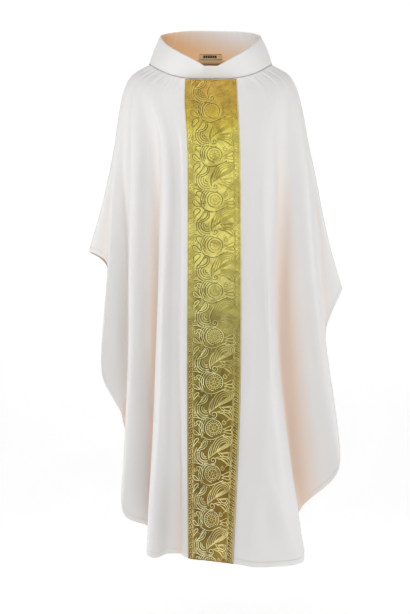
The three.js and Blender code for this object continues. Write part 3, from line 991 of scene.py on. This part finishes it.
def panel_grid(hanging, start, end):
    """Along and fall over a panel; its last rows keep their distance from the hem."""
    columns = np.linspace(start, end, (end - start) * COLUMNS_PER_FOLD + 1)
    top = np.linspace(0, 1, PANEL_ROWS)[:-1]
    lengths = hanging.line_length(columns)
    last = 1 - HEM_ZONE / lengths
    hem = 1 - HEM_ROWS[:, None] / lengths[None, :]
    fall = np.concatenate([top[:, None] / top[-1] * last[None, :], hem])
    along = np.broadcast_to(columns, fall.shape).copy()
    along[:, 0] += SEAM_GAP / 2 / hanging.stretch(along[:, 0], fall[:, 0])
    along[:, -1] -= SEAM_GAP / 2 / hanging.stretch(along[:, -1], fall[:, -1])
    return along, fall


def build_panel(hanging, s, name, node, start, end):
    along, fall = panel_grid(hanging, start, end)
    points, normals = hanging.at(along, fall)
    to_hem = (1 - fall) * hanging.line_length(along)
    # The stitches draw the cloth in a little, and the turned hem doubles it inside
    drawn_in = 0.4 * MM * near_line(to_hem - HEM_STITCH_LINE, 0.0012)
    doubled = 0.9 * MM * eased((s.hem_turn + 0.001 - to_hem) / 0.002)
    outer = points - normals * drawn_in[..., None]
    inner = points + normals * (CLOTH_BACK - doubled)[..., None]
    made = sheet(name, outer, inner, metres_over(outer))
    # Painted shade for the folds, kept on the points for the cloth's finish
    painted_shade = hanging.painted_shade(along, fall).reshape(-1)
    loop, _ = border(*along.shape)
    store(made, "painted_shade", np.concatenate([painted_shade, painted_shade, painted_shade[loop]]))
    right, wrong = (bpy.data.materials[name] for name in ("crepe_satin", "crepe_satin_wrong_side_shaded"))
    return finish_piece(made, right, [node], wrong)


def band_grid(hanging, middle):
    """Points and normals under a band, one fold line to each side of its middle."""
    columns = np.linspace(middle - 1, middle + 1, 4 * COLUMNS_PER_FOLD + 1)
    first = BAND_DROP / hanging.line_length(np.array(middle))
    fall = first + (1 - first) * np.linspace(0, 1, BAND_ROWS)
    return hanging.at(*np.meshgrid(columns, fall))


def band_layer(name, node, slot, material, points, normals, low, high):
    outer, inner = points + normals * high, points + normals * low
    made = sheet(name, outer, inner, metres_over(outer))
    return finish_piece(made, bpy.data.materials[material], [node])


def build_figure(s, name, face):
    """The woven figure: flat threads, a raised gold cord with its beads painted pale for their highlight, and
    beside the cord a dark thread that is painted shadow.
    """
    figure_threads, cord_threads, shadow_threads = Ribbons(), Ribbons(), Ribbons()
    repeat, width = s.band_repeat * 1000, face.width
    figure, cord, beads = figure_repeat()
    cord = [(line, 1.2 * thick) for line, thick in cord]
    border_lines, border_beads = border_repeat(width, repeat)
    # Painted shadow: a dark thread 1.9 mm to one side of every cord
    dark = [(beside(line, 1.9), 1.5) for line, thick in cord]
    low, high = 1.5, face.length - 1.5
    for turn in range(-1, int(face.length / repeat) + 2):
        start = -50 + turn * repeat
        for ribbons, lines in (
            (figure_threads, figure + border_lines),
            (cord_threads, cord),
            (shadow_threads, dark),
        ):
            for line, thick in lines:
                for part in kept_inside(line + (0, start), width, low, high):
                    ribbons.line(part, thick)
        for x, y, radius in beads + border_beads:
            if low + 2 < y + start < high - 2:
                cord_threads.bead(x, y + start, radius)
    made = []
    for ribbons, part in ((figure_threads, "figure"), (cord_threads, "cord"), (shadow_threads, "outline")):
        threads = ribbons.build(f"{name}_{part}", face)
        made.append(finish_piece(threads, bpy.data.materials[f"brocade_{part}"]))
    return made


def build_edging(name, face):
    """The thin lines beside the borders and the pale selvedge along both sides."""
    down = np.arange(1.5, face.length - 1.5, 3.0)
    dark, pale = Ribbons(), Ribbons()
    for side in (-1, 1):
        half = side * face.width / 2
        pale.line(np.stack([np.full(len(down), half - side * 0.9), down], axis=1), 1.8, 0.6)
        for inset, thick in ((3.2, 1.0), (14.6, 1.2), (17.4, 0.9)):
            dark.line(np.stack([np.full(len(down), half - side * inset), down], axis=1), thick)
    lines = finish_piece(dark.build(name + "_lines", face), bpy.data.materials["brocade_figure"])
    edge = finish_piece(pale.build(name + "_selvedge", face), bpy.data.materials["selvedge_cord"])
    return [lines, edge]


def stitches(name, points, normals, spacing, long):
    """A row of stitches along a line of points, each a small six-sided grain."""
    steps = np.linalg.norm(np.diff(points, axis=0), axis=1)
    travelled = np.concatenate([[0], np.cumsum(steps)])
    at = np.arange(spacing, travelled[-1] - spacing, spacing)

    def read(values, where):
        return np.stack([np.interp(where, travelled, values[:, k]) for k in range(3)], axis=1)

    middle, normal = read(points, at), read(normals, at)
    normal /= np.linalg.norm(normal, axis=1, keepdims=True)
    way = read(points, at + 0.0008) - read(points, at - 0.0008)
    way /= np.linalg.norm(way, axis=1, keepdims=True)
    side = np.cross(normal, way)
    rings = ((-0.5, 0.45, -0.1), (-0.3, 1.0, 0.16), (0.3, 1.0, 0.16), (0.5, 0.45, -0.1))
    vertices = []
    for share, size, rise in rings:
        for corner in range(6):
            angle = math.pi * corner / 3
            offset = side * (0.00042 * size * math.cos(angle))
            lift = normal * (0.00026 * size * math.sin(angle) + rise * MM)
            vertices.append(middle + way * (share * long) + offset + lift)
    stack = np.stack(vertices, axis=1)
    count = stack.shape[1]
    faces = []
    for start in range(0, len(middle) * count, count):
        for ring in range(3):
            for corner in range(6):
                a, b = start + 6 * ring + corner, start + 6 * ring + (corner + 1) % 6
                faces.append((a, b, b + 6, a + 6))
        faces += [tuple(start + 5 - i for i in range(6)), tuple(start + 18 + i for i in range(6))]
    flat = stack.reshape(-1, 3)
    uv = np.stack([np.repeat(at, count), np.tile(np.arange(count) * 0.0002, len(at))], axis=1)
    made = new_object(name, flat, faces, uv)
    return finish_piece(made, bpy.data.materials["polyester_thread"])


# ---------------------------------------------------------------- collar


def rim_point(s, turn):
    across, forward = np.sin(np.radians(turn)), np.cos(np.radians(turn))
    from_front = np.minimum(turn % 360, 360 - turn % 360)
    x = NECK_SHIFT - s.rim_half_width * across
    back = from_front > 90
    climb = np.maximum(0, from_front - RIM_DIP_HALF_ANGLE) / (90 - RIM_DIP_HALF_ANGLE)
    rise = np.where(
        back,
        mixed(RIM_SIDE_RISE, RIM_BACK[1], -forward),
        mixed(RIM_FRONT[1], RIM_SIDE_RISE, climb**RIM_DIP_POWER),
    )
    y = RIM_MIDDLE - np.where(back, RIM_BACK[0], RIM_FRONT[0]) * forward
    return np.stack([x, y, rise], axis=-1)


def foot_point(s, turn):
    turn = turn % 360
    across, forward = np.sin(np.radians(turn)), np.cos(np.radians(turn))
    front = forward >= 0
    power = np.where(front, 3, 2)
    rise = mixed(np.where(front, NECK_FRONT[1], NECK_BACK[1]), NECK_SIDE_RISE, np.abs(across) ** power)
    y = -np.where(front, NECK_FRONT[0], NECK_BACK[0]) * forward
    return np.stack([NECK_SHIFT - s.neck_half_width * across, y, rise + 0.0012], axis=-1)


class Collar:
    """The collar's outer face, by the turn round the neck and the height above its foot."""

    def __init__(self, s):
        self.s = s

    def wall(self, turn):
        return np.linalg.norm(rim_point(self.s, turn) - foot_point(self.s, turn), axis=-1)

    def at(self, turn, height, depth):
        def share(angle, part):
            foot = foot_point(self.s, angle)
            return foot + (rim_point(self.s, angle) - foot) * part[..., None]

        part = height / self.wall(turn)
        around = share(turn + 0.5, part) - share(turn - 0.5, part)
        upward = rim_point(self.s, turn) - foot_point(self.s, turn)
        inward = np.cross(around, upward)
        inward /= np.linalg.norm(inward, axis=-1, keepdims=True)
        return share(turn, part) + inward * depth[..., None]


def closed_ring(name, collar, turns, profile):
    """A ring round the neck. profile gives (height, depth) arrays over the turns."""
    heights, depths = (np.stack([p[k] for p in profile]) for k in (0, 1))
    points = collar.at(np.broadcast_to(turns, heights.shape), heights, depths)
    corners, steps = heights.shape
    a = np.arange(corners)[:, None] * steps + np.arange(steps)[None, :]
    b, c = np.roll(a, -1, axis=0), np.roll(a, -1, axis=1)
    d = np.roll(b, -1, axis=1)
    faces = np.stack([a, b, d, c], axis=-1).reshape(-1, 4)
    middle = points.mean(axis=0)
    walk = np.linalg.norm(np.diff(middle, axis=0, append=middle[:1]), axis=1)
    round_at = np.concatenate([[0], np.cumsum(walk)[:-1]])
    down = np.linalg.norm(np.diff(points[:, 0], axis=0, prepend=points[:1, 0]), axis=1).cumsum()
    uv = np.stack(np.broadcast_arrays(round_at[None, :], down[:, None]), axis=-1)
    return new_object(name, points.reshape(-1, 3), faces, uv.reshape(-1, 2))


def collar_wave(turns):
    """Soft waves round the collar, in millimetres."""
    return 0.5 * np.sin(np.radians(7 * turns + 15)) + 0.35 * np.sin(np.radians(13 * turns + 100))


def collar_sway(turns, share):
    """How far every layer of the collar bows inwards, at a share of its height."""
    bow = 0.0022 * (1 + 0.25 * np.sin(np.radians(3 * turns + 40)))
    return MM * 0.5 * collar_wave(turns) * share * (1 - 0.5 * share) - bow * np.sin(math.pi * share)


def collar_profile(s, collar, turns):
    """The folded cloth of the collar: out and over the rim, down inside, and back."""
    thick, ply = s.collar_thickness, COLLAR_PLY
    wall = collar.wall(turns)
    radius = thick / 2
    # The inner ply is longer than the outer, so it lies in small upright puckers
    pucker = 0.45 * np.sin(np.radians(29 * turns)) + 0.35 * np.sin(np.radians(47 * turns + 60))

    def side(share, depth, inside):
        wave = MM * (pucker * 0.9 * share**2 if inside else 0.0 * turns)
        return share * (wall - radius), depth + wave + collar_sway(turns, share)

    def rim(angle, reach):
        base = MM * 0.25 * collar_wave(turns)
        crown = MM * 0.6 * np.sin(np.radians(5 * turns + 30))
        height = wall - radius + reach * math.sin(angle) + crown * math.sin(angle)
        fade = (1 - math.cos(angle)) / 2
        return height, radius - reach * math.cos(angle) + base + MM * pucker * 0.9 * fade

    shares = np.linspace(0, 1, COLLAR_PLY_ROWS + 1)[:-1]
    arcs = np.linspace(0, math.pi, COLLAR_RIM_ROWS)
    over = [side(f, 0 * turns, False) for f in shares]
    over += [rim(a, radius) for a in arcs]
    over += [side(f, thick + 0 * turns, True) for f in shares[::-1]]
    under = [side(f, thick - ply + 0 * turns, True) for f in shares]
    under += [rim(a, radius - ply) for a in arcs[::-1]]
    under += [side(f, ply + 0 * turns, False) for f in shares[::-1]]
    return over + under


# ---------------------------------------------------------------- operators


def settings():
    scene = bpy.context.scene
    return scene.chasuble_sizes, scene.chasuble_colours


def prepared():
    """The settings, the hanging surface and the finishes, made once."""
    s, c = settings()
    hanging = Hanging(s)
    band_length = float(hanging.lengths[0])
    build_materials(c, band_length)
    return s, hanging


PANELS = (
    ("cloth_front_left", "front_panel_left", 0, SEAM_LEFT),
    ("cloth_back_left", "back_panel_left", SEAM_LEFT, SEAM_BACK),
    ("cloth_back_right", "back_panel_right", SEAM_BACK, SEAM_RIGHT),
    ("cloth_front_right", "front_panel_right", SEAM_RIGHT, SEAM_FRONT),
)


class CHASUBLE_OT_panels(bpy.types.Operator):
    """Makes the four cloth panels with their turned hems"""

    bl_idname = "chasuble.panels"
    bl_label = "Cloth panels"

    def execute(self, context):
        s, hanging = prepared()
        for name, node, start, end in PANELS:
            made = build_panel(hanging, s, name, node, start, end)
            columns = np.linspace(start + 0.02, end - 0.02, (end - start) * 24)
            fall = 1 - HEM_STITCH_LINE / hanging.line_length(columns)
            points, normals = hanging.at(columns, fall)
            row = stitches(name + "_hem_stitches", points, normals, 0.0042, s.stitch_length)
        return {"FINISHED"}


class CHASUBLE_OT_bands(bpy.types.Operator):
    """Makes the brocade bands with their canvas, woven figure and edging"""

    bl_idname = "chasuble.bands"
    bl_label = "Brocade bands"

    def execute(self, context):
        s, hanging = prepared()
        for name, middle in (("front", SEAM_FRONT), ("back", SEAM_BACK)):
            grid = points, normals = band_grid(hanging, middle)
            backing = (f"band_{name}_canvas", f"{name}_orphrey_backing", "canvas_backing", "cotton_canvas")
            canvas = band_layer(*backing, *grid, CANVAS_LOW, CANVAS_HIGH)
            brocade = (f"band_{name}", f"{name}_orphrey", "brocade", "brocade_ground")
            band = band_layer(*brocade, *grid, BAND_LOW, BAND_HIGH)
            face = BandFace(points + normals * BAND_HIGH, normals)
            trim = [*build_figure(s, f"band_{name}", face), *build_edging(f"band_{name}", face)]
        return {"FINISHED"}


class CHASUBLE_OT_collar(bpy.types.Operator):
    """Makes the rolled collar and the interlining inside it"""

    bl_idname = "chasuble.collar"
    bl_label = "Rolled collar"

    def execute(self, context):
        s, _ = prepared()
        collar = Collar(s)
        turns = np.arange(0, 360, 1.25)
        made = closed_ring("collar_cloth", collar, turns, collar_profile(s, collar, turns))
        self.paint_collar_inside_shade(made, len(turns))
        finish_piece(made, bpy.data.materials["crepe_satin"], ["collar"])
        made.data.materials.append(bpy.data.materials["crepe_satin_in_collar"])
        level = collar.wall(turns) - s.collar_thickness / 2
        shares = np.linspace(0.01, 0.97, 12)
        near, far = 0.0019, 0.0033
        profile = [(share * level, near + collar_sway(turns, share)) for share in shares]
        profile += [(share * level, far + collar_sway(turns, share)) for share in shares[::-1]]
        lining = closed_ring("collar_stiffening", collar, turns, profile)
        finish_piece(lining, bpy.data.materials["cotton_canvas"], ["collar_interlining"])
        return {"FINISHED"}

    @staticmethod
    def paint_collar_inside_shade(made, steps):
        """Gives the side towards the neck painted warm shade and a painted glow, warmer low down and to the
        left.
        """
        mesh = made.data
        points = np.empty(3 * len(mesh.vertices), np.float32)
        mesh.vertices.foreach_get("co", points)
        points = points.reshape(-1, 3)
        # Painted shade, stronger low down and to the left
        warm = np.clip(0.45 - 5.0 * points[:, 0] - 15 * (points[:, 2] - 0.090), 0, 1)
        # The profile climbs the outer ply, turns over the rim and comes down the inner ply
        crest = (COLLAR_PLY_ROWS + COLLAR_RIM_ROWS // 2) * steps
        foot = (2 * COLLAR_PLY_ROWS + COLLAR_RIM_ROWS) * steps
        warm[:crest] = 0
        store(made, "painted_shade", warm)
        index = np.zeros(len(mesh.polygons), int)
        index[crest:foot] = 1
        mesh.polygons.foreach_set("material_index", index)


class CHASUBLE_OT_neck_trim(bpy.types.Operator):
    """Makes the binding, the blank label and the shoulder tapes inside"""

    bl_idname = "chasuble.neck_trim"
    bl_label = "Neck trimmings"

    def execute(self, context):
        s, hanging = prepared()
        collar = Collar(s)
        turns = np.arange(0, 360, 1.5)
        near = s.collar_thickness + 0.0014
        # Height and depth of the tape's corners, in millimetres, a little fuller along its middle
        corners = ((-3, 0), (3, -0.1), (9, 0), (9, 0.9), (3, 1.1), (-3, 0.9))
        level = 0 * turns
        profile = [(height * MM + level, near + depth * MM + level) for height, depth in corners]
        tape = closed_ring("neck_tape", collar, turns, profile)
        finish_piece(tape, bpy.data.materials["satin_tape_weave_shaded"], ["neck_binding"])
        self.label(s, collar)
        for side, seam in (("left", SEAM_LEFT), ("right", SEAM_RIGHT)):
            self.shoulder_tape(hanging, side, seam)
        return {"FINISHED"}

    @staticmethod
    def label(s, collar):
        half = math.degrees(0.032 / s.neck_half_width)
        turn = 180 + np.linspace(half, -half, 33)
        rise = np.linspace(0.026, 0.010, 9)
        near = s.collar_thickness + 0.0018
        turns, rises = np.meshgrid(turn, rise)
        face = collar.at(turns, rises, np.full(turns.shape, near + 0.0006))
        back = collar.at(turns, rises, np.full(turns.shape, near))
        made = sheet("blank_label", face, back, metres_over(face))
        finish_piece(made, bpy.data.materials["damask_label_weave"], ["neck_label"])
        normals = face - back
        normals /= np.linalg.norm(normals, axis=-1, keepdims=True)
        front = BandFace(face, normals)
        marks = Ribbons()
        for dash in range(6):
            x = -16 + 5.8 * dash
            marks.line(np.array([(x - 2.3, 8.0), (x, 8.0), (x + 2.3, 8.0)]), 8.0, 0.3)
        for edge in (2.0, 14.0):
            marks.line(np.stack([np.linspace(-29, 29, 25), np.full(25, edge)], axis=1), 0.7, 0.25)
        dashes = marks.build("blank_label_dashes", front)
        finish_piece(dashes, bpy.data.materials["label_dash_thread"])

    @staticmethod
    def shoulder_tape(hanging, side, seam):
        fall = np.linspace(0.012, 0.41, 60)
        half = 0.007 / hanging.stretch(np.full(60, float(seam)), fall)
        along = seam + half[:, None] * np.linspace(-1, 1, 5)[None, :]
        grid = np.broadcast_to(fall[:, None], along.shape)
        points, normals = hanging.at(along, grid)
        outer, inner = points + normals * STAY_HIGH, points + normals * STAY_LOW
        made = sheet(f"shoulder_stay_{side}", outer, inner, metres_over(outer))
        finish_piece(made, bpy.data.materials["satin_tape_weave_shaded"], [f"shoulder_tape_{side}"])
        long = float(metres_over(outer)[-1, 2, 1])


class CHASUBLE_OT_stage(bpy.types.Operator):
    """Makes the pale sweep, the soft lights and the camera"""

    bl_idname = "chasuble.stage"
    bl_label = "Stage and lights"

    def execute(self, context):
        build_sweep()
        build_lights()
        build_camera()
        scene = context.scene
        scene.view_settings.view_transform = "Standard"
        scene.view_settings.look = "None"
        return {"FINISHED"}


def build_sweep():
    """A floor that curves up into a wall."""
    floor, wall, radius, top = -1.62, 4.3, 1.6, 4.6
    arcs = np.radians(np.linspace(0, 90, 17))
    profile = [(-8.0, floor)]
    profile += [(wall - radius + radius * math.sin(a), floor + radius - radius * math.cos(a)) for a in arcs]
    profile += [(wall, top)]
    x = np.linspace(-8, 8, 13)
    points = np.array([[(a, y, z) for a in x] for y, z in profile])
    uv = metres_over(points)
    faces = grid_faces(len(profile), len(x))
    made = new_object("paper_sweep", points.reshape(-1, 3), faces, uv.reshape(-1, 2))
    material, tree, shader = new_material("seamless_paper", Roughness=0.9, Specular_IOR_Level=0.1)
    at = add_node(tree, "ShaderNodeTexCoord").outputs["Object"]
    tone = ramp(tree, noise(tree, at, 1 / 3, 2.0), [(0.3, "#F6F6F6"), (0.7, "#FAFAFA")])
    tree.links.new(tone, shader.inputs["Base Color"])
    shader.inputs["Emission Color"].default_value = (1, 1, 1, 1)
    shader.inputs["Emission Strength"].default_value = 0.51
    # From behind, the paper is clear, so that the back of the garment can be seen through it
    behind = add_node(tree, "ShaderNodeNewGeometry").outputs["Backfacing"]
    clear = add_node(tree, "ShaderNodeBsdfTransparent").outputs["BSDF"]
    surface = add_node(tree, "ShaderNodeMixShader", {0: behind, 1: shader.outputs["BSDF"], 2: clear})
    tree.links.new(surface.outputs["Shader"], tree.nodes["Material Output"].inputs["Surface"])
    made.data.materials.append(material)


def area_light(name, place, aim, size, power):
    data = bpy.data.lights.new(name, "AREA")
    data.shape, data.size, data.size_y, data.energy = "RECTANGLE", size[0], size[1], power
    made = bpy.data.objects.new(name, data)
    bpy.context.scene.collection.objects.link(made)
    made.location = place
    made.rotation_euler = (Vector(aim) - Vector(place)).to_track_quat("-Z", "Y").to_euler()


def build_lights():
    middle = (0, 0, -0.6)
    area_light("softbox_left", (-3.0, -0.4, -0.3), middle, (1.4, 2.6), 33)
    area_light("softbox_right", (3.0, -0.4, -0.3), middle, (1.4, 2.6), 32)
    area_light("softbox_front", (-0.4, -5.2, 0.7), middle, (2.4, 1.8), 18)
    area_light("softbox_top", (-0.2, -2.4, 2.3), (0, 0, -0.3), (2.6, 1.6), 70)
    world = bpy.data.worlds.new("studio_air")
    world.use_nodes = True
    tree = world.node_tree
    # The room looks pale beyond the paper but adds next to no light of its own
    seen = add_node(tree, "ShaderNodeLightPath").outputs["Is Camera Ray"]
    strength = multiply_add(tree, seen, 0.9, 0.03)
    background = tree.nodes["Background"]
    background.inputs["Color"].default_value = (1, 1, 1, 1)
    tree.links.new(strength, background.inputs["Strength"])
    bpy.context.scene.world = world


def build_camera():
    data = bpy.data.cameras.new("camera")
    data.sensor_width, data.lens = 36, 82.7
    data.clip_end = 60
    made = bpy.data.objects.new("camera", data)
    bpy.context.scene.collection.objects.link(made)
    made.location = (-0.020, -3.5, -0.583)
    made.rotation_euler = (math.radians(90), 0, 0)
    bpy.context.scene.camera = made


class CHASUBLE_PT_panel(bpy.types.Panel):
    """The chasuble's pieces, sizes and colours"""

    bl_idname = "CHASUBLE_PT_panel"
    bl_label = "Chasuble"
    bl_space_type = "VIEW_3D"
    bl_region_type = "UI"
    bl_category = "Chasuble"

    def draw(self, context):
        for operator in OPERATORS:
            self.layout.operator(operator.bl_idname)
        for group in (context.scene.chasuble_sizes, context.scene.chasuble_colours):
            for name in group.__annotations__:
                self.layout.prop(group, name)


OPERATORS = (
    CHASUBLE_OT_panels,
    CHASUBLE_OT_bands,
    CHASUBLE_OT_collar,
    CHASUBLE_OT_neck_trim,
    CHASUBLE_OT_stage,
)
CLASSES = (ChasubleSizes, ChasubleColours, *OPERATORS, CHASUBLE_PT_panel)


def register():
    for each in CLASSES:
        bpy.utils.register_class(each)
    bpy.types.Scene.chasuble_sizes = PointerProperty(type=ChasubleSizes)
    bpy.types.Scene.chasuble_colours = PointerProperty(type=ChasubleColours)


def unregister():
    del bpy.types.Scene.chasuble_colours
    del bpy.types.Scene.chasuble_sizes
    for each in reversed(CLASSES):
        bpy.utils.unregister_class(each)


def main():
    register()
    bpy.ops.chasuble.panels()
    bpy.ops.chasuble.bands()
    bpy.ops.chasuble.collar()
    bpy.ops.chasuble.neck_trim()
    bpy.ops.chasuble.stage()


if __name__ == "__main__":
    main()
